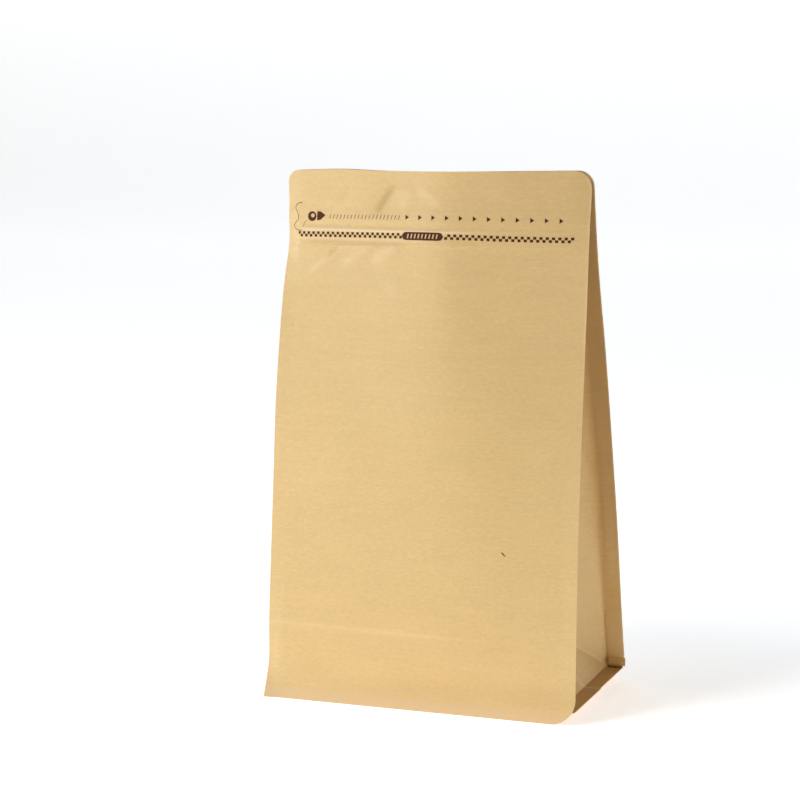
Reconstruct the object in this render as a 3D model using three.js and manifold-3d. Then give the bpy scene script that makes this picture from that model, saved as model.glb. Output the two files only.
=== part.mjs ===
// Flat-bottom kraft paper pouch with side folds, shut at the top and standing open at the base.
// Millimetres, +Z up. The printed front faces -Y. The origin is the middle of the base, on the table.
import * as THREE from 'three';
import { mergeVertices } from 'three/addons/utils/BufferGeometryUtils.js';
import { ConvexGeometry } from 'three/addons/geometries/ConvexGeometry.js';
import Module from 'manifold-3d';

const wasm = await Module();
wasm.setup();

// Driving dimensions
const PANEL_WIDTH = 130;
const PANEL_LENGTH = 210;
const BASE_DEPTH = 70;
const MOUTH_DEPTH = 3.4;
const SEAL_WIDTH = 7;
const SHEET = 0.9;
const SKIRT = 5;
const MOUTH_RECESS = 1.2;
const TOP_CORNER_RADIUS = 6;
const FOOT_CORNER_RADIUS = 10;

// How the filled-out shape departs from a plain wedge, at the height where each is largest
const BELLY = 2;
const MOUTH_BOW = 10.2;
const MOUTH_TWIST = 6;
const MOUTH_FORWARD = 12.3;
const MOUTH_SWAY = 0.8;

// Low relief on the front: the tear strip and the zip under it
const TEAR_STRIP_LOW = 186;
const TEAR_STRIP_HIGH = 193;
const TEAR_STRIP_RELIEF = 0.4;
const ZIP_LOW = 178;
const ZIP_HIGH = 184.5;
const ZIP_RELIEF = 0.5;
const RELIEF_RAMP = 0.8;

// Base: side flanges and the sagging panel between the skirts
const FLANGE_THICKNESS = 0.9;
const FLANGE_STEP = 0.7;
const FLANGE_LAP = 1.5;
const BASE_SAG = 3;

// How far one solid is sunk into the next where they join
const SINK = 0.3;

// Fineness
const PANEL_COLUMNS = 14;
const PANEL_ROWS = 16;
const BODY_COLUMNS = 11;
const BODY_ROWS = 19;
const BODY_FOLDS = 8;
const SHORTEST_EDGE = 0.02;

const HALF_WIDTH = PANEL_WIDTH / 2;
const SEAM = HALF_WIDTH - SEAL_WIDTH;
const FOLD_PANEL = BASE_DEPTH / 2;
const WEDGE_RUN = (BASE_DEPTH - MOUTH_DEPTH) / 2;
const HEIGHT = Math.sqrt(PANEL_LENGTH ** 2 - WEDGE_RUN ** 2);
const TUCK_HEIGHT = SKIRT + FOLD_PANEL * Math.SQRT1_2;

// Half of the depth from the front panel to the back panel at a height
function halfDepth(z) {
  const rise = z / HEIGHT;
  const wedge = THREE.MathUtils.lerp(BASE_DEPTH / 2, MOUTH_DEPTH / 2, rise);
  return wedge + BELLY * Math.sin(Math.PI * rise) ** 2;
}

// How far the side crease stands in from the seam: the fold panel keeps its length
function creaseInset(z) {
  return Math.sqrt(FOLD_PANEL ** 2 - halfDepth(Math.max(z, TUCK_HEIGHT)) ** 2);
}

// Moves a point of the straight pouch to its place on the bowed and twisted one
function bend(point) {
  const rise = point.z / HEIGHT;
  const across = point.x / HALF_WIDTH;
  const chord = 1 - (8 / 3) * (MOUTH_BOW * rise / PANEL_WIDTH) ** 2;
  point.y += rise * (MOUTH_BOW * across ** 2 - MOUTH_TWIST * across - MOUTH_FORWARD);
  point.x = point.x * chord + MOUTH_SWAY * rise;
  return point;
}

// Raises a band of the front between two heights, with short ramps
function band(z, low, high, relief) {
  const inside = Math.min(z - low, high - z);
  return relief * THREE.MathUtils.clamp(inside / RELIEF_RAMP, 0, 1);
}

function frontRelief(z) {
  const tearStrip = band(z, TEAR_STRIP_LOW, TEAR_STRIP_HIGH, TEAR_STRIP_RELIEF);
  return tearStrip + band(z, ZIP_LOW, ZIP_HIGH, ZIP_RELIEF);
}

// Evenly spaced values from low to high, both included
function evenly(low, high, steps) {
  return Array.from({ length: steps + 1 }, (_, i) => THREE.MathUtils.lerp(low, high, i / steps));
}

// Heights of the rows of points in a panel, with the edges of the raised bands among them
function panelRows() {
  return [
    0, ...evenly(SKIRT, ZIP_LOW, PANEL_ROWS),
    ZIP_LOW + RELIEF_RAMP, ZIP_HIGH - RELIEF_RAMP, ZIP_HIGH,
    TEAR_STRIP_LOW, TEAR_STRIP_LOW + RELIEF_RAMP, TEAR_STRIP_HIGH - RELIEF_RAMP, TEAR_STRIP_HIGH,
    (TEAR_STRIP_HIGH + HEIGHT) / 2, HEIGHT,
  ];
}

function movePoints(geometry, move) {
  const positions = geometry.getAttribute('position');
  const point = new THREE.Vector3();
  for (let i = 0; i < positions.count; i += 1) {
    point.fromBufferAttribute(positions, i);
    move(point);
    positions.setXYZ(i, point.x, point.y, point.z);
  }
  return geometry;
}

// One whole panel with its two side seals, as a sheet from the table to the mouth.
// side is -1 for the front and 1 for the back.
function panelSheet(side) {
  const columns = [-HALF_WIDTH, ...evenly(-SEAM, SEAM, PANEL_COLUMNS), HALF_WIDTH];
  const rows = panelRows();
  const sheet = new THREE.BoxGeometry(1, 1, 1, columns.length - 1, 1, rows.length - 1);
  return movePoints(sheet, (point) => {
    const x = columns[Math.round((point.x + 0.5) * (columns.length - 1))];
    const z = rows[Math.round((point.z + 0.5) * (rows.length - 1))];
    const onOuterFace = point.y * side > 0;
    const relief = side < 0 ? frontRelief(z) : 0;
    const depth = halfDepth(z) + (onOuterFace ? relief : -SHEET);
    bend(point.set(x, side * depth, z));
  });
}

// The closed body between the seams: a block whose two sides are pushed in to a crease.
// It stops just short of the mouth, so that the edges of the two panels stand a little proud.
function body() {
  const block = new THREE.BoxGeometry(2, 2, 1, BODY_COLUMNS, BODY_FOLDS, BODY_ROWS);
  return movePoints(block, (point) => {
    const z = THREE.MathUtils.lerp(SKIRT, HEIGHT - MOUTH_RECESS, point.z + 0.5);
    const halfWidth = SEAM - creaseInset(z) * (1 - Math.abs(point.y));
    bend(point.set(point.x * halfWidth, point.y * (halfDepth(z) - SHEET / 2), z));
  });
}

// The triangle that each side tucks in above its base seam. side is -1 for left and 1 for right.
function sideTuck(side) {
  const halfBase = halfDepth(SKIRT) - SHEET / 2;
  const apex = SEAM - creaseInset(TUCK_HEIGHT);
  const inner = apex - SEAL_WIDTH;
  const foot = SKIRT + SINK;
  const corners = [
    [SEAM, -halfBase, foot], [SEAM, halfBase, foot], [apex, 0, TUCK_HEIGHT],
    [inner, -halfBase, foot], [inner, halfBase, foot], [inner, 0, TUCK_HEIGHT - SINK],
  ];
  return new ConvexGeometry(corners.map(([x, y, z]) => bend(new THREE.Vector3(side * x, y, z))));
}

// Half of a base side seal, lying flat at the foot of the tuck. end is -1 for the front half.
function baseFlange(side, end) {
  const isFront = end < 0;
  const outer = HALF_WIDTH - (isFront ? SINK : FLANGE_STEP);
  const inner = SEAM - (isFront ? 2 : 3);
  const start = isFront ? -FLANGE_LAP : 0;
  const length = halfDepth(SKIRT) - SHEET / 2 - start;
  const thickness = FLANGE_THICKNESS + (isFront ? 0 : SINK);
  const flange = new THREE.BoxGeometry(outer - inner, length, thickness);
  return flange.translate(side * (outer + inner) / 2, end * (start + length / 2), SKIRT + SINK);
}

// The base panel sags between the skirts without reaching the table
function baseSag() {
  const sag = new THREE.SphereGeometry(1, 28, 10);
  sag.rotateX(Math.PI / 2);
  sag.scale(SEAM * 0.86, BASE_DEPTH * 0.41, BASE_SAG);
  return sag.translate(0, 0, SKIRT + 0.2);
}

// What is trimmed off a square corner to leave an arc, running through the depth of the pouch
function cornerTrim(radius, from, to) {
  const past = 4;
  const outline = new THREE.Shape();
  outline.moveTo(0, radius);
  outline.absarc(0, 0, radius, Math.PI / 2, 0, true);
  outline.lineTo(radius + past, 0);
  outline.lineTo(radius + past, radius + past);
  outline.lineTo(0, radius + past);
  outline.closePath();
  const trim = new THREE.ExtrudeGeometry(outline, { depth: to - from, curveSegments: 6, bevelEnabled: false });
  trim.rotateX(Math.PI / 2);
  return trim.translate(0, to, 0);
}

// side is -1 for the left corner and 1 for the right one
function topCornerTrim(side) {
  const trim = cornerTrim(TOP_CORNER_RADIUS, -BASE_DEPTH, BASE_DEPTH);
  if (side < 0) {
    trim.rotateZ(Math.PI);
  }
  const corner = bend(new THREE.Vector3(side * HALF_WIDTH, 0, HEIGHT));
  return trim.translate(corner.x - side * TOP_CORNER_RADIUS, 0, HEIGHT - TOP_CORNER_RADIUS);
}

// Only the right foot of each panel is rounded. side is -1 for the front panel and 1 for the back one.
function footCornerTrim(side) {
  const thickness = 3 * SHEET;
  const outermost = BASE_DEPTH / 2 + 0.6 * SHEET;
  const trim = cornerTrim(FOOT_CORNER_RADIUS, 0, thickness);
  trim.rotateX(Math.PI);
  const back = side < 0 ? thickness - outermost : outermost;
  return trim.translate(HALF_WIDTH - FOOT_CORNER_RADIUS, back, FOOT_CORNER_RADIUS);
}

function toSolid(geometry) {
  geometry.deleteAttribute('normal');
  geometry.deleteAttribute('uv');
  const merged = mergeVertices(geometry, 1e-4);
  const vertProperties = Float32Array.from(merged.getAttribute('position').array);
  const triVerts = Uint32Array.from(merged.getIndex().array);
  return new wasm.Manifold(new wasm.Mesh({ numProp: 3, vertProperties, triVerts }));
}

function toGeometry(solid) {
  const { vertProperties, triVerts } = solid.getMesh();
  const geometry = new THREE.BufferGeometry();
  geometry.setAttribute('position', new THREE.BufferAttribute(vertProperties, 3));
  geometry.setIndex(new THREE.BufferAttribute(triVerts, 1));
  geometry.computeVertexNormals();
  return geometry;
}

function pouchGeometry() {
  let pouch = toSolid(body());
  const joined = [panelSheet(-1), panelSheet(1), baseSag()];
  for (const side of [-1, 1]) {
    joined.push(sideTuck(side), baseFlange(side, -1), baseFlange(side, 1));
  }
  for (const piece of joined) {
    pouch = pouch.add(toSolid(piece));
  }
  for (const trim of [topCornerTrim(-1), topCornerTrim(1), footCornerTrim(-1), footCornerTrim(1)]) {
    pouch = pouch.subtract(toSolid(trim));
  }
  return toGeometry(pouch.simplify(SHORTEST_EDGE));
}

const kraft = new THREE.MeshStandardMaterial({ color: '#dcbb85', roughness: 0.85, metalness: 0 });
const pouch = new THREE.Mesh(pouchGeometry(), kraft);
pouch.name = 'pouch';

const group = new THREE.Group();
group.add(pouch);

export default group;
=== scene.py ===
"""A shut kraft paper pouch with a flat base, side folds, a tear strip and a zip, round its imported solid."""
import math

import bmesh
import bpy
import numpy as np
from mathutils import Matrix, Vector


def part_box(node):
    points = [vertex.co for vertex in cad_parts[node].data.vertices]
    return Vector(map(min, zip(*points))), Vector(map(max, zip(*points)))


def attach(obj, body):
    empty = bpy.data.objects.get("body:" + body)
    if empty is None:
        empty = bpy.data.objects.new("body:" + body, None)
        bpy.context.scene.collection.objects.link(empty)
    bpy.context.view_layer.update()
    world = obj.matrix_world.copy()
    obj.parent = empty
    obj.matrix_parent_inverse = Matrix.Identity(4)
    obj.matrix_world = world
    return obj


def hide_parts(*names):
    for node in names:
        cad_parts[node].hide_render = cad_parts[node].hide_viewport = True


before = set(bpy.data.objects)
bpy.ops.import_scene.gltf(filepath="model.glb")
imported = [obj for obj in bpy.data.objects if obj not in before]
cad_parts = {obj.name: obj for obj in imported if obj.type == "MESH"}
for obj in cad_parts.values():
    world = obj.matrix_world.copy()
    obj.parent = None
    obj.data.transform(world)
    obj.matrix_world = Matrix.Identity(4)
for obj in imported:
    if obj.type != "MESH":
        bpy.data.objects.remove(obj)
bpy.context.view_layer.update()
LOW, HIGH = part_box("pouch")

MM = 0.001

# Driving sizes, in millimetres
HEIGHT = HIGH.z / MM
BASE_DEPTH = (HIGH.y - LOW.y) / MM
PANEL_WIDTH = -2 * LOW.x / MM
MOUTH_DEPTH = 3.4
SEAL_WIDTH = 7
SKIRT = 5
SHEET = 0.3
LAP_GAP = 0.1
FOOT_RADIUS = 10
BASE_SAG = 3

# How far out from the middle the side seals of the base reach, in their front and back halves
FLANGE_FRONT = 64.7
FLANGE_BACK = 64.3

# Heights of the tear strip, the zip, the end of the seal at the foot, and the back's crease over the base
TEAR_STRIP = (186.9, 193)
ZIP_BAND = (179, 185.6)
FOOT_SEAL_END = (3.6, 4.6)
BACK_CREASE = 29.8

# How far the raised bands and lines stand out of a panel
TEAR_RELIEF = 0.4
ZIP_RELIEF = 0.6
TAB_RELIEF = 0.2
SEAL_RELIEF = 0.12
CREASE_RELIEF = 0.12

HALF_WIDTH = PANEL_WIDTH / 2
SEAM = HALF_WIDTH - SEAL_WIDTH
FOLD_PANEL = BASE_DEPTH / 2
TUCK_RISE = FOLD_PANEL * math.sqrt(0.5)
TUCK_TOP = SKIRT + TUCK_RISE

# How the standing pouch departs from a plain wedge: by its belly, at its mouth, and along the soft fold that
# runs up its panels
BELLY = 2
MOUTH_BOW = 5.5
MOUTH_RISE = 0.5
MOUTH_CREST = 0.6
MOUTH_CREST_PLACE = -40
MOUTH_CREST_WIDTH = 16
MOUTH_SWAY = 0.8
MOUTH_PINCH = 1.05
PINCH_FADE = (10, 34)
PINCH_RISE = (184, 200)
BEND_ANGLE = 0.172
BEND_GROWTH = 0.8
BEND_WIDTH_TOP = 8
BEND_WIDTH_LOW = 15
BEND_PLACE_TOP = 8
BEND_PLACE_LOW = 17
BEND_RISE = (70, 175)
CURL = 0.0001

# Past a seam, the stretch over which a side seal bends
SEAL_BEND = (-1, 5)

# The photograph's camera, fitted to the outline of the pouch
CAMERA_PLACE = (306.8, -790.8, 247.9)
CAMERA_TURN = 22.33
CAMERA_DOWN = 8.74
CAMERA_ROLL = -1.18
FOCAL_PIXELS = 2169
FRAME_PIXELS = 800
SENSOR_WIDTH = 36

# Which panel, and which end of it
FRONT, BACK = -1, 1
LEFT, RIGHT = -1, 1


def smooth(value, low, high):
    """0 below low, 1 above high, and an even curve between."""
    part = np.clip((value - low) / (high - low), 0, 1)
    return part * part * (3 - 2 * part)


def hump(distance, width):
    """1 at no distance, fading to 0 on both sides."""
    return np.exp(-(distance / width) ** 2)


def along(keys, place):
    """A value that runs smoothly through (place, value) keys. A place is a height, or one along the panel."""
    places, values = np.array(keys, float).T
    slopes = np.gradient(values, places)
    spot = np.clip(np.searchsorted(places, place) - 1, 0, len(keys) - 2)
    gap = places[spot + 1] - places[spot]
    part = np.clip((place - places[spot]) / gap, 0, 1)
    start = (1 + 2 * part) * (1 - part) ** 2 * values[spot] + part * (1 - part) ** 2 * gap * slopes[spot]
    finish = part ** 2 * (3 - 2 * part) * values[spot + 1] - part ** 2 * (1 - part) * gap * slopes[spot + 1]
    return start + finish


# ---------------------------------------------------------------- the shape of the pouch

# Radius of the top corners of the two panels, which the die didn't cut alike
TOP_RADIUS = {(LEFT, FRONT): 4.6, (RIGHT, FRONT): 7, (LEFT, BACK): 5, (RIGHT, BACK): 6}
TOP_TURN = max(TOP_RADIUS.values())

# How far each side edge stands behind the middle of the base, by height
LEFT_LEAN = [
    (0, 0), (6, 1.1), (12, 1.6), (24, 1.3), (90, 1.3), (120, 0.5),
    (145, 1.5), (168, 2.8), (177, 3.6), (190, 3.1), (208, 0.8),
]
RIGHT_LEAN = [(0, 0), (18, -1.4), (57, -3.6), (105, -5.3), (158, -6.9), (185, -8.2), (208, -7.6)]

# Degrees that each side seal is bent back from its panel, by height: positive closes it over the fold
LEFT_FRONT_SEAL = [
    (0, -5), (5, -1), (12, 8), (30, 5), (62, 2),
    (120, 0), (166, 1), (177, 10), (190, 7), (208, 2),
]
RIGHT_FRONT_SEAL = [(0, 0), (18, -2), (50, -4), (80, -4), (120, -1), (185, 1), (208, 5)]
LEFT_BACK_SEAL = [(0, 0), (10, 6), (70, 9), (140, 4), (208, 6)]
RIGHT_BACK_SEAL = [
    (0, 0), (7, 8), (13, 7), (30, 4), (60, -2.6),
    (100, 3), (140, 8), (164, 13), (185, 9), (208, 7),
]
SIDE_SEALS = [
    (LEFT_FRONT_SEAL, LEFT, FRONT), (RIGHT_FRONT_SEAL, RIGHT, FRONT),
    (LEFT_BACK_SEAL, LEFT, BACK), (RIGHT_BACK_SEAL, RIGHT, BACK),
]


def half_depth(z):
    """Half of the depth from the front panel's outer face to the back panel's."""
    rise = z / HEIGHT
    wedge = BASE_DEPTH / 2 + (MOUTH_DEPTH - BASE_DEPTH) / 2 * rise
    return wedge + BELLY * np.sin(np.pi * rise) ** 2


def crease_inset(z):
    """How far the side crease stands in from the seam."""
    return np.sqrt(FOLD_PANEL ** 2 - half_depth(np.maximum(z, TUCK_TOP)) ** 2)


def bend_profile(s, z):
    """A soft upright fold between two nearly flat halves of the panel, and a slight curl all over."""
    rise = smooth(z, *BEND_RISE)
    place = BEND_PLACE_LOW + (BEND_PLACE_TOP - BEND_PLACE_LOW) * rise
    width = BEND_WIDTH_LOW + (BEND_WIDTH_TOP - BEND_WIDTH_LOW) * rise
    return BEND_ANGLE * width * np.log(np.cosh((s - place) / width)) + CURL / 2 * (s - place) ** 2


def lean(s, z):
    """How far the wall stands back, from its twist and from the soft fold that runs up the panel."""
    left, right = bend_profile(-HALF_WIDTH, z), bend_profile(HALF_WIDTH, z)
    share = (s + HALF_WIDTH) / PANEL_WIDTH
    bowed = bend_profile(s, z) - left - (right - left) * share
    left_edge, right_edge = along(LEFT_LEAN, z), along(RIGHT_LEAN, z)
    return (z / HEIGHT) ** BEND_GROWTH * bowed + left_edge + (right_edge - left_edge) * share


def across(s, z):
    """The place across of a point s along the bowed panel."""
    rise = z / HEIGHT
    bow = MOUTH_BOW * rise / PANEL_WIDTH
    return s * (1 - 8 / 3 * bow ** 2) + MOUTH_SWAY * rise


def mouth_pinch(s, z):
    """The panels lie closer together at the mouth, where no side fold is between them."""
    return MOUTH_PINCH * (1 - smooth(np.abs(s), *PINCH_FADE)) * smooth(z, *PINCH_RISE)


def panel_point(s, z, side, outward):
    """A point on the front or back panel, by its place along the panel and its height.
    outward is the distance out of the panel's outer face."""
    s, z, outward = np.broadcast_arrays(*(np.asarray(value, float) for value in (s, z, outward)))
    x = across(s, z)
    y = lean(s, z) + side * (half_depth(z) - mouth_pinch(s, z) + outward)
    for keys, end, panel in SIDE_SEALS:
        if panel == side:
            over = np.maximum(end * s - SEAM, 0)
            angle = np.radians(along(keys, z)) * smooth(over, *SEAL_BEND)
            x = x - end * over * (1 - np.cos(angle))
            y = y - side * over * np.sin(angle)
    mouth_wave = MOUTH_RISE + MOUTH_CREST * hump(s - MOUTH_CREST_PLACE, MOUTH_CREST_WIDTH)
    return np.stack([x, y, z + mouth_wave * smooth(z, TEAR_STRIP[1], HEIGHT)], axis=-1)


def reach(z, end, side):
    """How far a panel's edge stands from its middle at a height, with its rounded corners."""
    radius = TOP_RADIUS[end, side]
    into_top = np.clip(z - (HEIGHT - radius), 0, radius)
    edge = HALF_WIDTH - radius + np.sqrt(radius ** 2 - into_top ** 2)
    if end == RIGHT:
        into_foot = np.clip(FOOT_RADIUS - z, 0, FOOT_RADIUS)
        edge = np.minimum(edge, HALF_WIDTH - FOOT_RADIUS + np.sqrt(FOOT_RADIUS ** 2 - into_foot ** 2))
    return edge


def trimmed(s, z, side):
    """Moves the outer columns of a panel in to its rounded corners."""
    for end in (LEFT, RIGHT):
        edge = reach(z, end, side)
        inner = HALF_WIDTH - FOOT_RADIUS
        share = np.clip((end * s - inner) / FOOT_RADIUS, 0, 1)
        s = np.where(end * s > inner, end * (inner + share * (edge - inner)), s)
    return s


# ---------------------------------------------------------------- meshes

# Distance between the points of the front, of its raised bands, of the back and of the upper side folds
FRONT_PITCH = 0.9
BAND_PITCH = 0.5
BACK_PITCH = 1.6
SIDE_PITCH = 1.5


def steps(low, high, pitch):
    """Evenly spaced values from low to high, about a pitch apart."""
    return np.linspace(low, high, max(1, round((high - low) / pitch)) + 1)


def panel_rows(pitch):
    """Heights from foot to mouth, closer together round the corners and the raised bands."""
    turn = np.sin(np.radians(np.arange(0, 88, 7)))
    foot = FOOT_RADIUS * (1 - turn)
    top = HEIGHT - TOP_TURN + TOP_TURN * turn
    bands = steps(ZIP_BAND[0] - 1, TEAR_STRIP[1] + 1, min(pitch, BAND_PITCH))
    plain = np.concatenate([steps(FOOT_RADIUS, bands[0], pitch), steps(bands[-1], top[0], pitch)])
    return np.unique(np.round(np.concatenate([[0, HEIGHT], foot, plain, bands, top]), 3))


def panel_columns(pitch):
    """Places along a panel, from its left edge to its right one."""
    return steps(-HALF_WIDTH, HALF_WIDTH, pitch)


def mesh_object(name, points, faces, materials, face_material=None):
    """Makes one piece of the pouch from points in millimetres, and says what it rides on and stands for."""
    mesh = bpy.data.meshes.new(name)
    mesh.from_pydata((points * MM).tolist(), [], faces)
    for material in materials:
        mesh.materials.append(material)
    if face_material is not None:
        mesh.polygons.foreach_set("material_index", face_material)
    mesh.update()
    mesh.shade_smooth()
    piece = bpy.data.objects.new(name, mesh)
    bpy.context.scene.collection.objects.link(piece)
    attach(piece, "root")
    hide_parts("pouch")
    return piece


def grid_faces(rows, columns):
    """Four-sided faces over a grid of points, counted row by row."""
    corner = (np.arange(rows - 1)[:, None] * columns + np.arange(columns - 1)[None, :]).ravel()
    return np.stack([corner, corner + 1, corner + columns + 1, corner + columns], axis=1)


def rim_faces(rows, columns):
    """Faces that join the edges of two equal grids, the second counted after the first."""
    down = np.arange(rows) * columns
    ring = np.concatenate([
        np.arange(columns), down[1:] + columns - 1,
        down[-1] + np.arange(columns - 1)[::-1], down[1:-1][::-1],
    ])
    after = np.roll(ring, -1)
    other = rows * columns
    return np.stack([ring, ring + other, after + other, after], axis=1)


def split_faces(faces, folds):
    """Cuts each four-sided face that a fold crosses into two triangles along the fold."""
    cut = []
    for a, b, c, d in faces:
        if (a, c) in folds or (c, a) in folds:
            cut += [[a, b, c], [a, c, d]]
        elif (b, d) in folds or (d, b) in folds:
            cut += [[a, b, d], [b, c, d]]
        else:
            cut.append([a, b, c, d])
    return cut


def sharpen(piece, pairs):
    """Keeps the edges between pairs of points crisp."""
    mesh = piece.data
    chosen = {tuple(sorted(pair)) for pair in pairs}
    layer = mesh.attributes.new("sharp_edge", "BOOLEAN", "EDGE")
    layer.data.foreach_set("value", [edge.key in chosen for edge in mesh.edges])


def sheet_object(name, outer, inner, materials, folds=(), flip=False):
    """A closed thin sheet from the grids of points of its two faces, with crisp folds between pairs of
    points. The cut edge round it takes the last material."""
    rows, columns = outer.shape[:2]
    count = rows * columns
    folds = set(folds)
    outside = split_faces(grid_faces(rows, columns).tolist(), folds)
    inside = [[point + count for point in face[::-1]] for face in outside]
    rim = rim_faces(rows, columns).tolist()
    faces = outside + inside + rim
    if flip:
        faces = [face[::-1] for face in faces]
    kinds = np.zeros(len(faces), np.int32)
    kinds[len(outside + inside):] = len(materials) - 1
    points = np.concatenate([outer.reshape(-1, 3), inner.reshape(-1, 3)])
    piece = mesh_object(name, points, faces, materials, kinds)
    cut_edge = {pair for face in rim for pair in zip(face, face[1:] + face[:1])}
    sharpen(piece, cut_edge | folds | {(a + count, b + count) for a, b in folds})
    return piece


def paint(piece, name, amounts):
    """Stores how far each point of a sheet is paled by a fold or a painted highlight, or browned by a weld or
    painted shade.
    """
    layer = piece.data.attributes.new(name, "FLOAT", "POINT")
    layer.data.foreach_set("value", np.concatenate([amounts.ravel()] * 2).astype(np.float32))


# ---------------------------------------------------------------- materials

KRAFT = "#D9B87D"
# A darker kraft for the base: its darkness is painted shade, for the shade under the side folds and seals
KRAFT_BASE_SHADED = "#C49D66"
KRAFT_DARK = "#9A7142"
KRAFT_PALE = "#ECCD9C"
INK_THICK = "#442212"
INK_THIN = "#5C3722"

# Across and upright size of the cloudy patches, the wire's streaks and the fibres, in millimetres
CLOUD_MM = (24, 16)
STREAK_MM = (30, 1.6)
FIBRE_MM = (2, 0.7)
DARK_FIBRE_MM = (1.1, 0.6)

# The share by which the first three darken and pale the paper, and how far a dark fibre shades it
CLOUD_TINT, STREAK_TINT, FIBRE_TINT = 0.02, 0.018, 0.055
DARK_FIBRE_SHADE = 0.35

# The parts of a noise that make the tints, and that make the dark fibres
NOISE_LOW, NOISE_HIGH = 0.3, 0.7
DARK_FIBRE_LOW, DARK_FIBRE_HIGH = 0.68, 0.78

PAPER_ROUGHNESS = 0.68
TOOTH_MM = 0.04
TOOTH_STRENGTH = 0.3
INK_ROUGHNESS = 0.8
INK_SHEEN = 0.15
INK_GRAIN_MM = 0.8


def colour(hex_value):
    """An sRGB hex colour as linear red, green, blue and alpha."""
    parts = [int(hex_value[i:i + 2], 16) / 255 for i in (1, 3, 5)]
    return [p / 12.92 if p <= 0.04045 else ((p + 0.055) / 1.055) ** 2.4 for p in parts] + [1]


def add(tree, kind, settings=None, **inputs):
    """Adds a node, sets its properties and fills or links its inputs, by name or by a number after _."""
    node = tree.nodes.new(kind)
    for name, value in (settings or {}).items():
        setattr(node, name, value)
    for name, value in inputs.items():
        numbered = name[0] == "_" and name[1:].isdigit()
        socket = node.inputs[int(name[1:]) if numbered else name.replace("_", " ")]
        if isinstance(value, bpy.types.NodeSocket):
            tree.links.new(value, socket)
        else:
            socket.default_value = value
    return node


def mix(tree, amount, tone, shade):
    """Blends a tone into a hex shade by an amount."""
    return add(tree, "ShaderNodeMix", {"data_type": "RGBA"}, _0=amount, _6=tone, _7=colour(shade))


def new_material(name, roughness):
    """A new material with its node tree and its shader."""
    material = bpy.data.materials.new(name)
    material.use_nodes = True
    shader = material.node_tree.nodes["Principled BSDF"]
    shader.inputs["Roughness"].default_value = roughness
    return material, material.node_tree, shader


def per_mm(size):
    """The texture scale, in repeats a metre, of a pattern with features of a size in millimetres."""
    return 1 / (size * MM)


def kraft_paper(name, base):
    """Kraft paper: unbleached softwood pulp, made on a wire and calendered. The eye sees an even matt tan
    with faint cloudy patches, level streaks from the wire, and short fibres, a few of them darker. It goes
    paler where it is folded and browner where it is welded, and the same two marks also carry painted
    highlights and painted shade."""
    material, tree, shader = new_material(name, PAPER_ROUGHNESS)
    place = add(tree, "ShaderNodeTexCoord").outputs["Object"]

    def grain(wide, tall, detail):
        """A noise with features of a width and height in millimetres."""
        size = (per_mm(wide), per_mm(wide), per_mm(tall))
        stretched = add(tree, "ShaderNodeMapping", Vector=place, Scale=size).outputs[0]
        return add(tree, "ShaderNodeTexNoise", Vector=stretched, Scale=1, Detail=detail, Roughness=0.6)

    def tint(tone, noise, change):
        """Makes the tone darker and paler by a share, following the middle part of a noise."""
        factor = add(tree, "ShaderNodeMapRange", Value=noise.outputs[0], From_Min=NOISE_LOW,
                     From_Max=NOISE_HIGH, To_Min=1 - change, To_Max=1 + change)
        scaled = add(tree, "ShaderNodeVectorMath", {"operation": "SCALE"}, _0=tone, Scale=factor.outputs[0])
        return scaled.outputs[0]

    clouds, streaks, fibres = grain(*CLOUD_MM, 3), grain(*STREAK_MM, 3), grain(*FIBRE_MM, 4)
    tone = add(tree, "ShaderNodeRGB").outputs[0]
    tone.default_value = colour(base)
    for noise, change in ((clouds, CLOUD_TINT), (streaks, STREAK_TINT), (fibres, FIBRE_TINT)):
        tone = tint(tone, noise, change)
    sparse = grain(*DARK_FIBRE_MM, 2).outputs[0]
    dark_fibres = add(tree, "ShaderNodeMapRange", Value=sparse, From_Min=DARK_FIBRE_LOW,
                      From_Max=DARK_FIBRE_HIGH, To_Max=DARK_FIBRE_SHADE)
    tone = mix(tree, dark_fibres.outputs[0], tone, KRAFT_DARK).outputs[2]
    # The fold mark pales the paper for folds and painted highlights, the weld mark browns it for welds and
    # painted shade
    for mark, shade in (("fold", KRAFT_PALE), ("weld_and_shade", KRAFT_DARK)):
        amount = add(tree, "ShaderNodeAttribute", {"attribute_name": mark}).outputs["Fac"]
        tone = mix(tree, amount, tone, shade).outputs[2]
    tree.links.new(tone, shader.inputs["Base Color"])
    tooth = add(tree, "ShaderNodeMath", {"operation": "ADD"}, _0=streaks.outputs[0], _1=fibres.outputs[0])
    bump = add(tree, "ShaderNodeBump", Height=tooth.outputs[0], Strength=TOOTH_STRENGTH,
               Distance=TOOTH_MM * MM)
    tree.links.new(bump.outputs[0], shader.inputs["Normal"])
    return material


def flexo_ink():
    """Dark brown flexographic ink: thin and matt, mottled a little between a thicker and a thinner tone."""
    material, tree, shader = new_material("flexo_ink_brown", INK_ROUGHNESS)
    shader.inputs["Specular IOR Level"].default_value = INK_SHEEN
    place = add(tree, "ShaderNodeTexCoord").outputs["Object"]
    grain = add(tree, "ShaderNodeTexNoise", Vector=place, Scale=per_mm(INK_GRAIN_MM), Detail=3)
    ink = mix(tree, grain.outputs[0], colour(INK_THICK), INK_THIN)
    tree.links.new(ink.outputs[2], shader.inputs["Base Color"])
    return material


# ---------------------------------------------------------------- pieces

def band(z, low, high, soft):
    """1 between two heights and 0 outside, with soft ends."""
    return smooth(z, low - soft, low + soft) * (1 - smooth(z, high - soft, high + soft))


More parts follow.
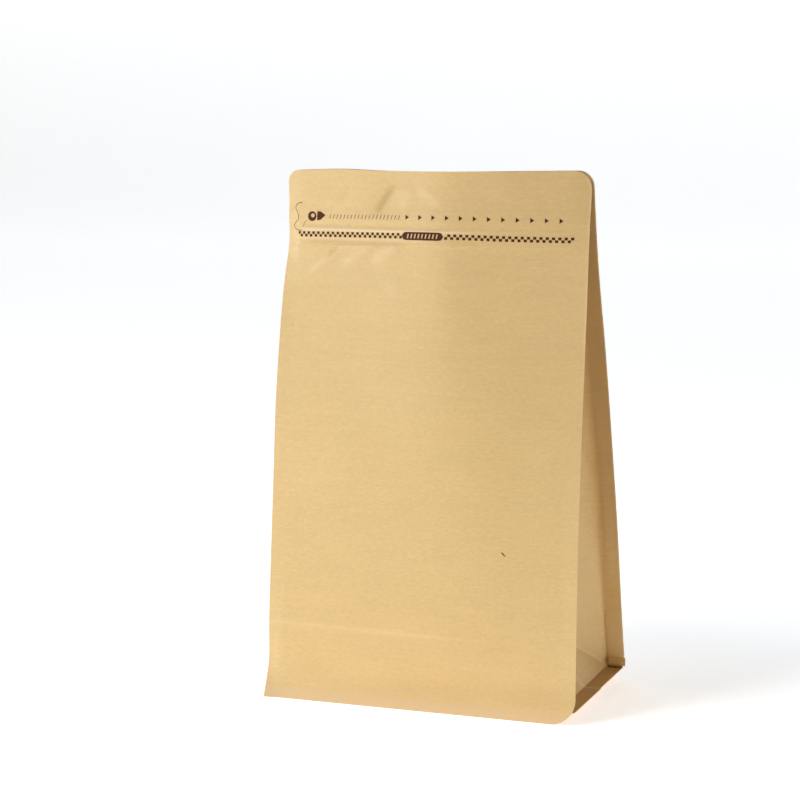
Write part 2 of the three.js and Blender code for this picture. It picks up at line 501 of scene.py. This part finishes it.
def stroke(s, z, start, end, width):
    """1 along a line between two points of the panel, fading to 0 at its sides and ends."""
    (s0, z0), (s1, z1) = start, end
    length = math.hypot(s1 - s0, z1 - z0)
    run = ((s - s0) * (s1 - s0) + (z - z0) * (z1 - z0)) / length
    off = ((s - s0) * (z1 - z0) - (z - z0) * (s1 - s0)) / length
    ends = smooth(run, -0.15 * length, 0.3 * length) * (1 - smooth(run, 0.7 * length, 1.15 * length))
    return hump(off, width) * ends


# Wrinkles on the front: start and end along the panel, width and height out, all in millimetres
WRINKLES = [
    ((-22, 191.5), (-14.5, 201.5), 1.8, -0.7),
    ((-16, 201), (-5, 202.5), 1.4, -0.3),
    ((-12, 193), (-6, 200), 2.3, 0.4),
    ((-3, 201), (7, 196), 1.9, 0.35),
    ((-39.5, 195.5), (-35, 202), 1.2, -0.25),
    ((-66, 176.9), (-48, 176.6), 0.9, 0.22),
    ((-66, 174.9), (-50, 175.1), 0.9, 0.18),
    ((-44.4, 173.8), (-40, 178.3), 1, -0.6),
    ((-53, 168.3), (-40, 175.8), 1.5, 0.7),
    ((-37, 171.8), (-24, 178.5), 2, 0.6),
    ((-23, 173.5), (-12, 178.5), 2.3, 0.7),
    ((-18, 166), (-10, 160), 2.4, 0.25),
    ((22, 176.5), (52, 175), 1.6, -0.12),
    ((-50, 160), (-20, 150), 9, -0.35),
    ((-48, 120), (-10, 112), 10, -0.4),
    ((-55, 86), (-20, 92), 12, 0.35),
    ((30, 60), (50, 120), 9, -0.3),
    ((-46, 14), (-6, 9), 5, -0.6),
    ((-12, 10), (36, 8), 4.5, -0.5),
    ((-60, 6), (-44, 21), 3, 0.2),
]

# Heights of the painted highlights on the zip's two ridges and of the painted shade lines along its two
# tracks
UPPER_RIDGE, LOWER_RIDGE = 184.8, 181.5
UPPER_TRACK, LOWER_TRACK = 186.3, 179.9

# Wider wrinkles than this, in millimetres, are soft swells that get no painted highlight or shade
FINE_WRINKLE = 3


def creasing(s, z):
    """The height of the fine wrinkles alone, from which their crests get painted highlights and their hollows
    painted shade.
    """
    height = 0 * s
    for start, end, width, tall in WRINKLES:
        if width < FINE_WRINKLE:
            height = height + tall * stroke(s, z, start, end, width)
    return height


# How the front's relief runs along the panel: the share of it lost to the right, the line down the pull tab,
# the step at the foot seal, and where the crease over the base fades out
RELIEF_LOSS = 0.75
RELIEF_FADE = (0, 24)
TAB_LINE = ((-60.2, 195), (-59, 184.5), 0.9)
SEAL_STEP = (3.2, 4.8)
CREASE_FADE = (5, 40)


def front_relief(s, z):
    """How far the front stands out from its plain surface, in millimetres. The tear strip and the zip stand
    out most in the left half."""
    low, high = TEAR_STRIP
    strong = 1 - RELIEF_LOSS * smooth(s, *RELIEF_FADE)
    height = TEAR_RELIEF * strong * smooth(z, low - 0.8, low + 2)
    height = height * (1 - smooth(z, high - 1.5, high + 1.5))
    height = height + TAB_RELIEF * stroke(s, z, *TAB_LINE)
    flat_ends = 1 - smooth(np.abs(s), SEAM - 4, SEAM + 4)
    height = height + ZIP_RELIEF * strong * band(z, *ZIP_BAND, 0.6) * flat_ends
    height = height + SEAL_RELIEF * (1 - smooth(z, *SEAL_STEP))
    height = height + CREASE_RELIEF * hump(z - TUCK_TOP, 0.9) * (1 - smooth(s, *CREASE_FADE))
    for start, end, width, tall in WRINKLES:
        height = height + tall * stroke(s, z, start, end, width)
    return height


# How strongly each mark pales or browns the front's paper. The zip's ridge lines and the wrinkle crests are
# painted highlights, and the band above the foot, the zip's track lines and the wrinkle hollows are painted
# shade
CREASE_PALE = 0.34
FOOT_PALE = 0.72
CUT_PALE = 0.45
UPPER_RIDGE_HIGHLIGHT = 0.95
LOWER_RIDGE_HIGHLIGHT = 0.4
WRINKLE_HIGHLIGHT = 0.5
FOOT_BROWN = 0.22
ABOVE_FOOT_SHADE = 0.12
UPPER_TRACK_SHADE = 0.08
LOWER_TRACK_SHADE = 0.24
HOLLOW_SHADE = 0.3


def front_folds_and_highlights(s, z):
    """How pale the front's paper is: on the crease over the base, on the pressed seal at its foot, and along
    the cut edge at the right of the mouth. It also holds the painted highlights on the zip's two ridges and
    on the wrinkles."""
    crease = CREASE_PALE * hump(z - TUCK_TOP, 0.8) * (1 - smooth(s, -10, 40))
    foot = FOOT_PALE * (1 - smooth(z, *FOOT_SEAL_END))
    cut = CUT_PALE * (1 - smooth(reach(z, RIGHT, FRONT) - s, 0.1, 1)) * smooth(z, 110, 150)
    # The pale lines on the zip's two ridges are painted highlights
    upper = UPPER_RIDGE_HIGHLIGHT * hump(z - UPPER_RIDGE, 0.75) * (1 - smooth(s, 8, 30))
    lower = LOWER_RIDGE_HIGHLIGHT * hump(z - LOWER_RIDGE, 0.8) * (1 - smooth(s, -8, 8))
    ridges = (upper + lower) * smooth(s, -62, -54)
    # Painted highlights on the crests of the fine wrinkles
    wrinkles = WRINKLE_HIGHLIGHT * np.maximum(creasing(s, z), 0)
    return np.clip(crease + foot + cut + ridges + wrinkles, 0, 1)


def front_welds_and_shade(s, z):
    """How brown the front's paper is at its welded foot, together with the painted shade in a band above the
    foot, along the zip's two tracks and in the hollows of the wrinkles."""
    foot = FOOT_BROWN * (1 - smooth(z, *FOOT_SEAL_END))
    # Painted shade in a band just above the foot seal
    above = ABOVE_FOOT_SHADE * hump(z - 9, 5) * smooth(s, -30, 10)
    # Painted shade lines along the zip's two tracks
    upper = UPPER_TRACK_SHADE * hump(z - UPPER_TRACK, 1) * (1 - smooth(s, -8, 16))
    lower = LOWER_TRACK_SHADE * hump(z - LOWER_TRACK, 1.1) * (1 - smooth(s, -22, 2))
    tracks = (upper + lower) * smooth(s, -60, -50)
    # Painted shade in the hollows of the fine wrinkles
    hollows = HOLLOW_SHADE * np.maximum(-creasing(s, z), 0)
    return np.clip(foot + above + tracks + hollows, 0, 1)


def front_panel(paper, edge):
    """The printed front, with its relief, wrinkles and cut edges."""
    z, s = np.meshgrid(panel_rows(FRONT_PITCH), panel_columns(FRONT_PITCH), indexing="ij")
    s = trimmed(s, z, FRONT)
    relief = front_relief(s, z)
    outer = panel_point(s, z, FRONT, relief)
    inner = panel_point(s, z, FRONT, -SHEET + relief)
    panel = sheet_object("front_panel", outer, inner, [paper, edge])
    # The fold mark holds paler folds and painted highlights, the weld mark browner welds and painted shade
    paint(panel, "fold", front_folds_and_highlights(s, z))
    paint(panel, "weld_and_shade", front_welds_and_shade(s, z))


# How far the zip, the soft ripples and the crease over the base stand out of the back, and how pale the
# crease is
BACK_ZIP_RELIEF = 0.3
BACK_RIPPLE = 0.6
BACK_CREASE_RELIEF = 0.14
BACK_CREASE_PALE = 0.3


def back_relief(s, z):
    """How far the back stands out from its plain surface, in millimetres."""
    sides = smooth(np.abs(s), SEAM - 0.5, SEAM + 0.5)
    height = -SEAL_RELIEF * sides - SEAL_RELIEF * (1 - smooth(z, *FOOT_SEAL_END))
    height = height + BACK_ZIP_RELIEF * band(z, *ZIP_BAND, 0.7) * (1 - smooth(np.abs(s), SEAM - 2, SEAM + 2))
    inside = smooth(z, 10, 60) * (1 - smooth(np.abs(s), SEAM - 16, SEAM - 2))
    height = height + BACK_RIPPLE * np.sin(s / 23 + 1) * np.sin(z / 41) * inside
    return height + BACK_CREASE_RELIEF * hump(z - BACK_CREASE, 0.9)


def back_panel(paper, edge):
    """The plain back, which bulges softly between its seals."""
    z, s = np.meshgrid(panel_rows(BACK_PITCH), panel_columns(BACK_PITCH), indexing="ij")
    s = trimmed(s, z, BACK)
    relief = back_relief(s, z)
    outer = panel_point(s, z, BACK, relief)
    inner = panel_point(s, z, BACK, -SHEET + relief)
    panel = sheet_object("back_panel", outer[:, ::-1], inner[:, ::-1], [paper, edge])
    paint(panel, "fold", BACK_CREASE_PALE * hump(z - BACK_CREASE, 0.8)[:, ::-1])


def seam(z, end, side):
    """Where a side seal begins. The fold clings to the right back seal a little past it, low and high up."""
    cling = 0
    if (end, side) == (RIGHT, BACK):
        cling = 0.7 * (1 - smooth(z, 20, 55)) + 1.3 * smooth(z, 75, 130)
    return SEAM - cling


# How far the side folds relax outward between seam and crease, and the one dent in the right fold: its start
# and end as places from the crease and heights, its width and its depth
FOLD_RELAX = 0.9
DENT_LINE = ((26, 101), (34, 88), 1.6)
DENT_DEPTH = 0.7


def fold_point(v, z, end, depth):
    """A point on a side fold: v runs from -1 at the front seam, through 0 at the crease, to 1 at the back.
    Above the tuck it curves softly into the back seal. depth is the distance in from the face that shows."""
    deep = crease_inset(z) * (1 - np.abs(v))
    relaxed = FOLD_RELAX * np.sin(np.pi * np.abs(v)) * smooth(z, TUCK_TOP, 70) * (1 - smooth(z, 150, 200))
    dent = DENT_DEPTH * stroke(v * FOLD_PANEL, z, *DENT_LINE) * (end == RIGHT)
    tucked = (z - SKIRT) / TUCK_RISE * crease_inset(TUCK_TOP)
    inset = np.where(z < TUCK_TOP, np.minimum(deep, tucked), deep)
    cling = (SEAM - seam(z, end, BACK)) * np.clip(v, 0, 1)
    s = end * (SEAM - cling - inset + relaxed - dent - depth)
    soft = 0.04 + 0.36 * smooth(z, 26, 85)
    into = np.clip(v - 1 + soft, 0, soft)
    eased = np.where(v > 0, (v - into ** 2 / (2 * soft)) / (1 - soft / 2), v)
    y = eased * (half_depth(z) - 1.5 * SHEET) + lean(s, z)
    return np.stack([across(s, z), y, z + 0 * v], axis=-1)


def fold_lines(rows_to_apex, first, middle, last, columns, row_count):
    """The crisp folds of a side: its front seam, its middle crease, the foot of its back seam and the two
    slanting folds of the tuck."""
    uprights = ((first, row_count), (middle, row_count), (last, rows_to_apex + 1))
    lines = [[row * columns + column for row in range(count)] for column, count in uprights]
    lines.append([row * columns + first + row for row in range(rows_to_apex + 1)])
    lines.append([row * columns + last - row for row in range(rows_to_apex + 1)])
    return {pair for line in lines for pair in zip(line, line[1:])}


def seal_strip(z, over, end, side, outward):
    """Part of a side seal between the seam and the edge: over is the share of the way across it."""
    start = seam(z, end, side)
    s = end * (start + over * np.maximum(reach(z, end, side) - start - 0.15, 0.2))
    relief = front_relief(s, z) if side == FRONT else back_relief(s, z)
    return panel_point(s, z, side, relief + outward)


# How strongly a side's folds are paled, how strong the painted highlight on the foot of its back seal is, and
# how strong the painted shade on the middle of that seal
SIDE_FOLD_PALE = 0.5
SEAL_FOOT_HIGHLIGHT = 0.8
SEAL_MIDDLE_SHADE = 0.3


def paint_side_folds_highlight_and_shade(piece, rows, fold_v, strip_columns):
    """Pales the folds of a side, paints a highlight on the foot of its back seal, and paints shade on the
    middle of that seal.
    """
    strip = np.full((len(rows), strip_columns), 2)
    from_crease = np.concatenate([strip, np.abs(fold_v), strip], axis=1) * FOLD_PANEL
    column_count = from_crease.shape[1]
    z = np.broadcast_to(rows[:, None], from_crease.shape)
    from_slant = from_crease - FOLD_PANEL + (z - SKIRT) / math.sqrt(0.5)
    slants = hump(from_slant, 0.8) * (z <= TUCK_TOP)
    on_back_seal = np.arange(column_count)[None, :] >= column_count - strip_columns
    # Painted highlight on the lower back seal, brighter towards its foot
    foot = SEAL_FOOT_HIGHLIGHT * (1 - smooth(z, 8, 40)) * on_back_seal
    folds = SIDE_FOLD_PALE * hump(from_crease, 0.8) + SIDE_FOLD_PALE * slants
    paint(piece, "fold", np.clip(folds + foot, 0, 1))
    # Painted shade on the middle of the back seal, in the recess behind the front panel
    paint(piece, "weld_and_shade", SEAL_MIDDLE_SHADE * smooth(z, 40, 75) * (1 - smooth(z, 135, 160)) * on_back_seal)


def side_fold(name, end, paper, edge):
    """One side fold with its two seal strips, which lie inside the side seals of the panels."""
    tuck_steps = 24
    tuck = SKIRT + TUCK_RISE * np.arange(tuck_steps + 1) / tuck_steps
    top_turn = HEIGHT - TOP_TURN + TOP_TURN * np.sin(np.radians(np.arange(0, 88, 12)))
    rows = np.concatenate([tuck, steps(TUCK_TOP, top_turn[0], SIDE_PITCH)[1:], top_turn[1:]])
    v = np.arange(-tuck_steps, tuck_steps + 1) / tuck_steps
    over = np.linspace(1, 0, 6)[:-1]
    z, fold_v = np.meshgrid(rows, v, indexing="ij")
    strip_z, strip_over = np.meshgrid(rows, over, indexing="ij")
    faces = []
    for depth in (0, SHEET):
        outward = depth - 2 * SHEET - LAP_GAP
        front, back = (seal_strip(strip_z, strip_over, end, side, outward) for side in (FRONT, BACK))
        faces.append(np.concatenate([front, fold_point(fold_v, z, end, depth), back[:, ::-1]], axis=1))
    first, middle, last = len(over), len(over) + tuck_steps, len(over) + 2 * tuck_steps
    columns = last + len(over) + 1
    folds = fold_lines(tuck_steps, first, middle, last, columns, len(rows))
    piece = sheet_object(name, faces[0], faces[1], [paper, edge], folds, end == LEFT)
    paint_side_folds_highlight_and_shade(piece, rows, fold_v, len(over))


def foot_lip(paper, edge):
    """The thickened foot of the right back seal, which stands proud of it and hangs over the base seal."""
    low, high = SKIRT + 1.1, SKIRT + 4.4
    heights = np.linspace(low, high, 4)
    places = np.linspace(SEAM + 0.6, HALF_WIDTH + 0.7, 6)
    z, s = np.meshgrid(heights, places, indexing="ij")
    proud = 2 * SHEET + 2 * LAP_GAP + 1.1 * smooth(high - z, 0, 3)
    near, far = (panel_point(s, z, BACK, -proud - sheet) for sheet in (SHEET, 0))
    sheet_object("foot_lip_right", near, far, [paper, edge])


# How full the sag of the base is, how far its crease stands up, how deep the groove in its side seals is, and
# how pale its crease is
SAG_POWER = 2.5
BASE_CREASE_RELIEF = 0.5
BASE_GROOVE = 1.3
BASE_CREASE_PALE = 0.5


def base_face(columns, depth):
    """One face of the base: its front seal turned down, the flat part with its side flanges, and the back
    seal turned down."""
    heights = np.array([0.4, 1.6, 2.8, 4, SKIRT - 0.3])
    shares = np.linspace(-1, 1, 45)
    parts = []
    for side, rows in ((FRONT, heights), (BACK, heights[::-1])):
        z, s = np.meshgrid(rows, columns, indexing="ij")
        for end in (LEFT, RIGHT):
            s = np.where(end * s > 0, end * np.minimum(end * s, reach(z, end, side) - 0.5), s)
        parts.append(panel_point(s, z, side, depth - 2 * SHEET - 2 * LAP_GAP))
    share, s = np.meshgrid(shares, columns, indexing="ij")
    s = np.sign(s) * np.minimum(np.abs(s), np.where(share > 0.02, FLANGE_BACK, FLANGE_FRONT))
    sag = (1 - np.clip(np.abs(s) / SEAM, 0, 1) ** SAG_POWER) * (1 - np.abs(share) ** SAG_POWER)
    crease = BASE_CREASE_RELIEF * hump(share * BASE_DEPTH / 2, 1.2) * (1 - smooth(np.abs(s), SEAM - 6, SEAM))
    groove = BASE_GROOVE * smooth(share, 0.93, 0.97) * band(np.abs(s), SEAM, HALF_WIDTH - 1.4, 0.6)
    y = share * (half_depth(SKIRT) - 2.2 * SHEET) + lean(s, SKIRT)
    flat = np.stack([across(s, SKIRT), y, SKIRT - 0.1 + depth - BASE_SAG * sag + crease - groove], axis=-1)
    return np.concatenate([parts[0], flat, parts[1]])


def base_panel(paper, edge):
    """The base between the skirts, with its front and back seals turned down and its side seals out."""
    outer = [SEAM + 2, SEAM + 4, FLANGE_BACK, FLANGE_FRONT]
    columns = np.concatenate([[-s for s in outer[::-1]], steps(-SEAM, SEAM, 2), outer])
    top, under = base_face(columns, SHEET), base_face(columns, 0)
    piece = sheet_object("base_panel", top, under, [paper, edge])
    paint(piece, "fold", BASE_CREASE_PALE * hump(top[..., 1], 1))


# ---------------------------------------------------------------- print

INK_LIFT = 0.05
CHECK_LINE = 183.1
CHECK_ROW = 1.05
CHECK_COUNT = 21
CHECK_LEFT, CHECK_LEFT_PITCH = -59.6, 2.36
CHECK_RIGHT, CHECK_RIGHT_PITCH = 9.5, 2.44
BADGE = (-10.7, 7.2)
BADGE_HALF_HEIGHT = 1.55
ARROW_LINE = 190.2
ARROW_START = -8.8
ARROW_PITCH = 5.68
ARROW_COUNT = 12
ARROW_TAIL, ARROW_TIP, ARROW_HALF_HEIGHT = 0.7, 0.85, 1
HATCH_LINE = ARROW_LINE - 0.15
HATCH_START, HATCH_END, HATCH_PITCH = -44.7, -12, 1.7
HATCH_WIDTH, HATCH_HEIGHT, HATCH_SLANT = 0.26, 1.7, 0.3
TAB_CUT_WIDTH, TAB_SLIT_WIDTH = 0.24, 0.18

# How far the printed lines sink, and how far they are shifted along, by place along the panel
PRINT_DROP = [(-58, 0.35), (-40, 0.1), (-20, -0.1), (9, -0.16), (31, 0.44), (54, 0.9)]
PRINT_SHIFT = [(-60, 0.4), (-9, 0.5), (9, 0.95), (24, 0.75), (54, 0.5)]


def on_front(points):
    """Lays flat points (along the panel, height) on the printed front."""
    s, z = np.array(points, float).T
    z = z - along(PRINT_DROP, s)
    s = s + along(PRINT_SHIFT, s)
    return panel_point(s, z, FRONT, front_relief(s, z) + INK_LIFT)


def print_piece(name, shapes, ink):
    """Joins flat shapes, each a list of outline points, into one printed mesh that follows the paper."""
    flat = bmesh.new()
    for shape in shapes:
        flat.faces.new([flat.verts.new((s, z, 0)) for s, z in shape])
    bmesh.ops.triangulate(flat, faces=flat.faces)
    bmesh.ops.subdivide_edges(flat, edges=flat.edges, cuts=2, use_grid_fill=True)
    flat.verts.index_update()
    points = [vert.co.xy for vert in flat.verts]
    faces = [[vert.index for vert in face.verts] for face in flat.faces]
    flat.free()
    return mesh_object(name, on_front(points), faces, [ink])


def rectangle(s, z, width, tall, slant=0):
    """A rectangle about its middle, whose top leans to the right by a slant and its foot to the left."""
    right, up = width / 2, tall / 2
    corners = [(-right - slant, -up), (right - slant, -up), (right + slant, up), (-right + slant, up)]
    return [(s + x, z + y) for x, y in corners]


def checker_strip(ink):
    """Two rows of small squares, set off by half a pitch, on either side of the middle badge."""
    halves = [(CHECK_LEFT, CHECK_LEFT_PITCH, 0.5), (CHECK_RIGHT, CHECK_RIGHT_PITCH, -0.5)]
    shapes = []
    for i in range(CHECK_COUNT):
        for start, pitch, set_off in halves:
            s = start + i * pitch
            shapes.append(rectangle(s, CHECK_LINE + CHECK_ROW / 2, pitch / 2, CHECK_ROW))
            s = s + set_off * pitch
            shapes.append(rectangle(s, CHECK_LINE - CHECK_ROW / 2, pitch / 2, CHECK_ROW))
    print_piece("print_checks", shapes, ink)


def arrowheads(ink):
    """A row of small arrowheads along the tear strip."""
    low, high = ARROW_LINE - ARROW_HALF_HEIGHT, ARROW_LINE + ARROW_HALF_HEIGHT
    shapes = []
    for i in range(ARROW_COUNT):
        s = ARROW_START + i * ARROW_PITCH
        shapes.append([(s - ARROW_TAIL, low), (s + ARROW_TIP, ARROW_LINE), (s - ARROW_TAIL, high)])
    print_piece("print_arrows", shapes, ink)


def badge(ink):
    """A dark badge with pointed ends, with a row of thin slanting bars left bare in it."""
    low, high = BADGE
    point, border, bars, notch = 1.9, 0.7, 9, 0.25
    bottom, top = CHECK_LINE - BADGE_HALF_HEIGHT, CHECK_LINE + BADGE_HALF_HEIGHT
    left, right = low + point, high - point
    near_low, near_high = low + 0.4 * point, high - 0.4 * point
    shapes = [
        [
            (low, CHECK_LINE), (near_low, bottom + notch), (left, bottom),
            (left, top), (near_low, top - notch),
        ],
        [
            (high, CHECK_LINE), (near_high, top - notch), (right, top),
            (right, bottom), (near_high, bottom + notch),
        ],
    ]
    pitch = (right - left) / bars
    bare, slant = 0.36 * pitch, 0.12 * pitch
    inner_low, inner_high = bottom + border, top - border
    for i in range(bars):
        start = left + i * pitch
        middle, end = start + pitch / 2, start + pitch
        shapes.append(rectangle(middle, bottom + border / 2, pitch, border))
        shapes.append(rectangle(middle, top - border / 2, pitch, border))
        near, far = middle - bare / 2, middle + bare / 2
        shapes.append([
            (start, inner_low), (near - slant, inner_low),
            (near + slant, inner_high), (start, inner_high),
        ])
        shapes.append([
            (far - slant, inner_low), (end, inner_low),
            (end, inner_high), (far + slant, inner_high),
        ])
    print_piece("print_badge", shapes, ink)


def pull_mark(ink):
    """A plain ring and a chevron, where the thumb takes hold."""
    s, z = -51.3, ARROW_LINE
    turn = np.radians(np.arange(0, 361, 30))
    rim = [(-2.2 + 2.1 * math.cos(a), -0.1 + 2 * math.sin(a)) for a in turn]
    hole = [(-1.9 + 0.9 * math.cos(a), 0.2 + 0.8 * math.sin(a)) for a in turn]
    shapes = [[rim[i], rim[i + 1], hole[i + 1], hole[i]] for i in range(len(turn) - 1)]
    shapes.append([(0.2, -1.7), (1.9, -1.5), (4.3, 0.4), (1.9, 1.8), (0.3, 1.9), (1.7, 0.2)])
    print_piece("print_pull_mark", [[(s + x, z + y) for x, y in shape] for shape in shapes], ink)


def tear_hatching(ink):
    """Fine leaning bars along the tear strip, up to the first arrowhead."""
    places = np.arange(HATCH_START, HATCH_END, HATCH_PITCH)
    shapes = [rectangle(s, HATCH_LINE, HATCH_WIDTH, HATCH_HEIGHT, HATCH_SLANT) for s in places]
    print_piece("print_hatching", shapes, ink)


def tab_cut(ink):
    """The die-cut outline of the pull tab at the left end of the tear strip."""
    def ribbon(path, width):
        """A thin line through a path, rounded at its corners."""
        path = np.array(path, float)
        t = np.linspace(0, len(path) - 1, 8 * (len(path) - 1) + 1)
        curve = np.stack([np.interp(t, range(len(path)), path[:, i]) for i in (0, 1)], axis=1)
        for _ in range(6):
            curve[1:-1] = (curve[:-2] + 2 * curve[1:-1] + curve[2:]) / 4
        way = np.gradient(curve, axis=0)
        way = way / np.linalg.norm(way, axis=1)[:, None]
        step = np.stack([-way[:, 1], way[:, 0]], axis=1) * width / 2
        left, right = curve + step, curve - step
        return [[right[i], right[i + 1], left[i + 1], left[i]] for i in range(len(curve) - 1)]

    outer = [
        (-58.6, 195.5), (-61, 195.1), (-62.1, 193.3), (-60.4, 191), (-60, 189),
        (-61.8, 187.6), (-62.9, 186.2), (-61.6, 184.7), (-58.6, 184.4),
    ]
    inner = [(-56, 188.6), (-57.4, 187.4), (-58, 185.9)]
    print_piece("tab_cut", ribbon(outer, TAB_CUT_WIDTH) + ribbon(inner, TAB_SLIT_WIDTH), ink)


def speck(ink):
    """The one small dark fleck in the paper of the front."""
    s, z = 35, 64.3
    outline = [(-0.9, 0.8), (-0.4, 0.75), (0.3, 0.1), (0.9, -0.5), (0.8, -0.8), (0, -0.3), (-0.6, 0.3)]
    print_piece("paper_fleck", [[(s + x, z + y) for x, y in outline[::-1]]], ink)


# ---------------------------------------------------------------- camera, floor and light

def camera():
    """A camera at the photograph's place and angle."""
    turn, down, roll = (math.radians(a) for a in (CAMERA_TURN, CAMERA_DOWN, CAMERA_ROLL))
    right = Vector((math.cos(turn), math.sin(turn), 0))
    level = Vector((-math.sin(turn), math.cos(turn), 0))
    look = level * math.cos(down) - Vector((0, 0, math.sin(down)))
    up = right.cross(look)
    rolled_right = right * math.cos(roll) + up * math.sin(roll)
    rolled_up = up * math.cos(roll) - right * math.sin(roll)
    data = bpy.data.cameras.new("photo_camera")
    data.sensor_width = SENSOR_WIDTH
    data.lens = FOCAL_PIXELS / FRAME_PIXELS * SENSOR_WIDTH
    data.clip_end = 20
    eye = bpy.data.objects.new("photo_camera", data)
    turn_to = Matrix((rolled_right, rolled_up, -look)).transposed()
    eye.matrix_world = Matrix.Translation(Vector(CAMERA_PLACE) * MM) @ turn_to.to_4x4()
    bpy.context.scene.collection.objects.link(eye)
    bpy.context.scene.camera = eye


# Each lamp: place in metres, width in metres, power in watts, and colour
LAMPS = {
    "key_softbox": ((-0.8, -0.9, 1.35), 0.7, 13.3, "#F2F8FF"),
    "left_softbox": ((-1.6, -0.3, 0.4), 0.9, 16.4, "#BFDDFF"),
    "low_fill": ((-0.45, -0.75, 0.05), 0.45, 4.1, "#FFEACE"),
    "right_fill": ((0.7, -0.1, 0.05), 0.3, 1.9, "#FFFFFF"),
}
AMBIENT = 0.05
LAMP_AIM = (0, 0, 0.1)


def lamp(name, place, width, power, tint):
    """One round soft lamp, aimed at the middle of the pouch."""
    data = bpy.data.lights.new(name, "AREA")
    data.shape = "DISK"
    data.size = width
    data.energy = power
    data.color = colour(tint)[:3]
    piece = bpy.data.objects.new(name, data)
    piece.location = place
    aim = Vector(LAMP_AIM) - Vector(place)
    piece.rotation_euler = aim.to_track_quat("-Z", "Y").to_euler()
    bpy.context.scene.collection.objects.link(piece)


def studio():
    """Soft lamps round the pouch, the strongest high at the left, with a little light from all round."""
    scene = bpy.context.scene
    scene.view_settings.view_transform = "Standard"
    world = bpy.data.worlds.new("white_room")
    world.use_nodes = True
    world.node_tree.nodes["Background"].inputs["Color"].default_value = (1, 1, 1, 1)
    world.node_tree.nodes["Background"].inputs["Strength"].default_value = AMBIENT
    scene.world = world
    for name, settings in LAMPS.items():
        lamp(name, *settings)


# The sweep is opal acrylic lit from behind. Its glow fades out in front of the pouch, between two places in
# metres, and rises to GLOW_HIGH times as much over its first GLOW_RISE metres of height.
GLOW = 0.56
GLOW_EDGE = (-0.3, -0.15)
GLOW_HIGH = 1.4
GLOW_RISE = 0.5
OPAL_DULL = "#F4F4F4"
OPAL_BRIGHT = "#F8F8F8"


def opal_acrylic():
    """Opal acrylic, cast: even, white and matt, and lit from behind."""
    material, tree, shader = new_material("opal_acrylic_cast", 0.9)
    place = add(tree, "ShaderNodeTexCoord").outputs["Object"]
    patches = add(tree, "ShaderNodeTexNoise", Vector=place, Scale=3, Detail=2).outputs[0]
    shade = mix(tree, patches, colour(OPAL_DULL), OPAL_BRIGHT)
    tree.links.new(shade.outputs[2], shader.inputs["Base Color"])
    _, behind, above = add(tree, "ShaderNodeSeparateXYZ", Vector=place).outputs
    dark, lit = GLOW_EDGE
    glow = add(tree, "ShaderNodeMapRange", Value=behind, From_Min=dark, From_Max=lit, To_Max=GLOW).outputs[0]
    higher = add(tree, "ShaderNodeMapRange", Value=above, From_Max=GLOW_RISE, To_Min=1, To_Max=GLOW_HIGH)
    strength = add(tree, "ShaderNodeMath", {"operation": "MULTIPLY"}, _0=glow, _1=higher.outputs[0])
    shader.inputs["Emission Color"].default_value = (1, 1, 1, 1)
    tree.links.new(strength.outputs[0], shader.inputs["Emission Strength"])
    return material


def sweep():
    """The floor, which curves up to a wall far behind the pouch."""
    radius, wall_place, wall_top, half_width = 1.2, 3.2, 4, 5
    turn = np.radians(np.arange(0, 91, 6))
    y = np.concatenate([[-2], wall_place - radius + radius * np.sin(turn), [wall_place]])
    z = np.concatenate([[0], radius - radius * np.cos(turn), [wall_top]])
    points = [(x, *line) for line in np.stack([y, z], axis=1).tolist() for x in (-half_width, half_width)]
    mesh = bpy.data.meshes.new("floor_sweep")
    mesh.from_pydata(points, [], grid_faces(len(y), 2).tolist())
    mesh.materials.append(opal_acrylic())
    mesh.shade_smooth()
    floor = bpy.data.objects.new("floor_sweep", mesh)
    bpy.context.scene.collection.objects.link(floor)


def pouch():
    """The dressed pouch: its sheets, and the print on its front."""
    paper = kraft_paper("kraft_paper_laid", KRAFT)
    edge = kraft_paper("kraft_paper_cut_edge", KRAFT_PALE)
    ink = flexo_ink()
    front_panel(paper, edge)
    back_panel(paper, edge)
    side_fold("side_fold_right", RIGHT, paper, edge)
    side_fold("side_fold_left", LEFT, paper, edge)
    foot_lip(paper, edge)
    # The base's darker paper is painted shade
    base_panel(kraft_paper("kraft_paper_base_shaded", KRAFT_BASE_SHADED), edge)
    checker_strip(ink)
    arrowheads(ink)
    badge(ink)
    pull_mark(ink)
    tear_hatching(ink)
    tab_cut(ink)
    speck(ink)


camera()
pouch()
studio()
sweep()
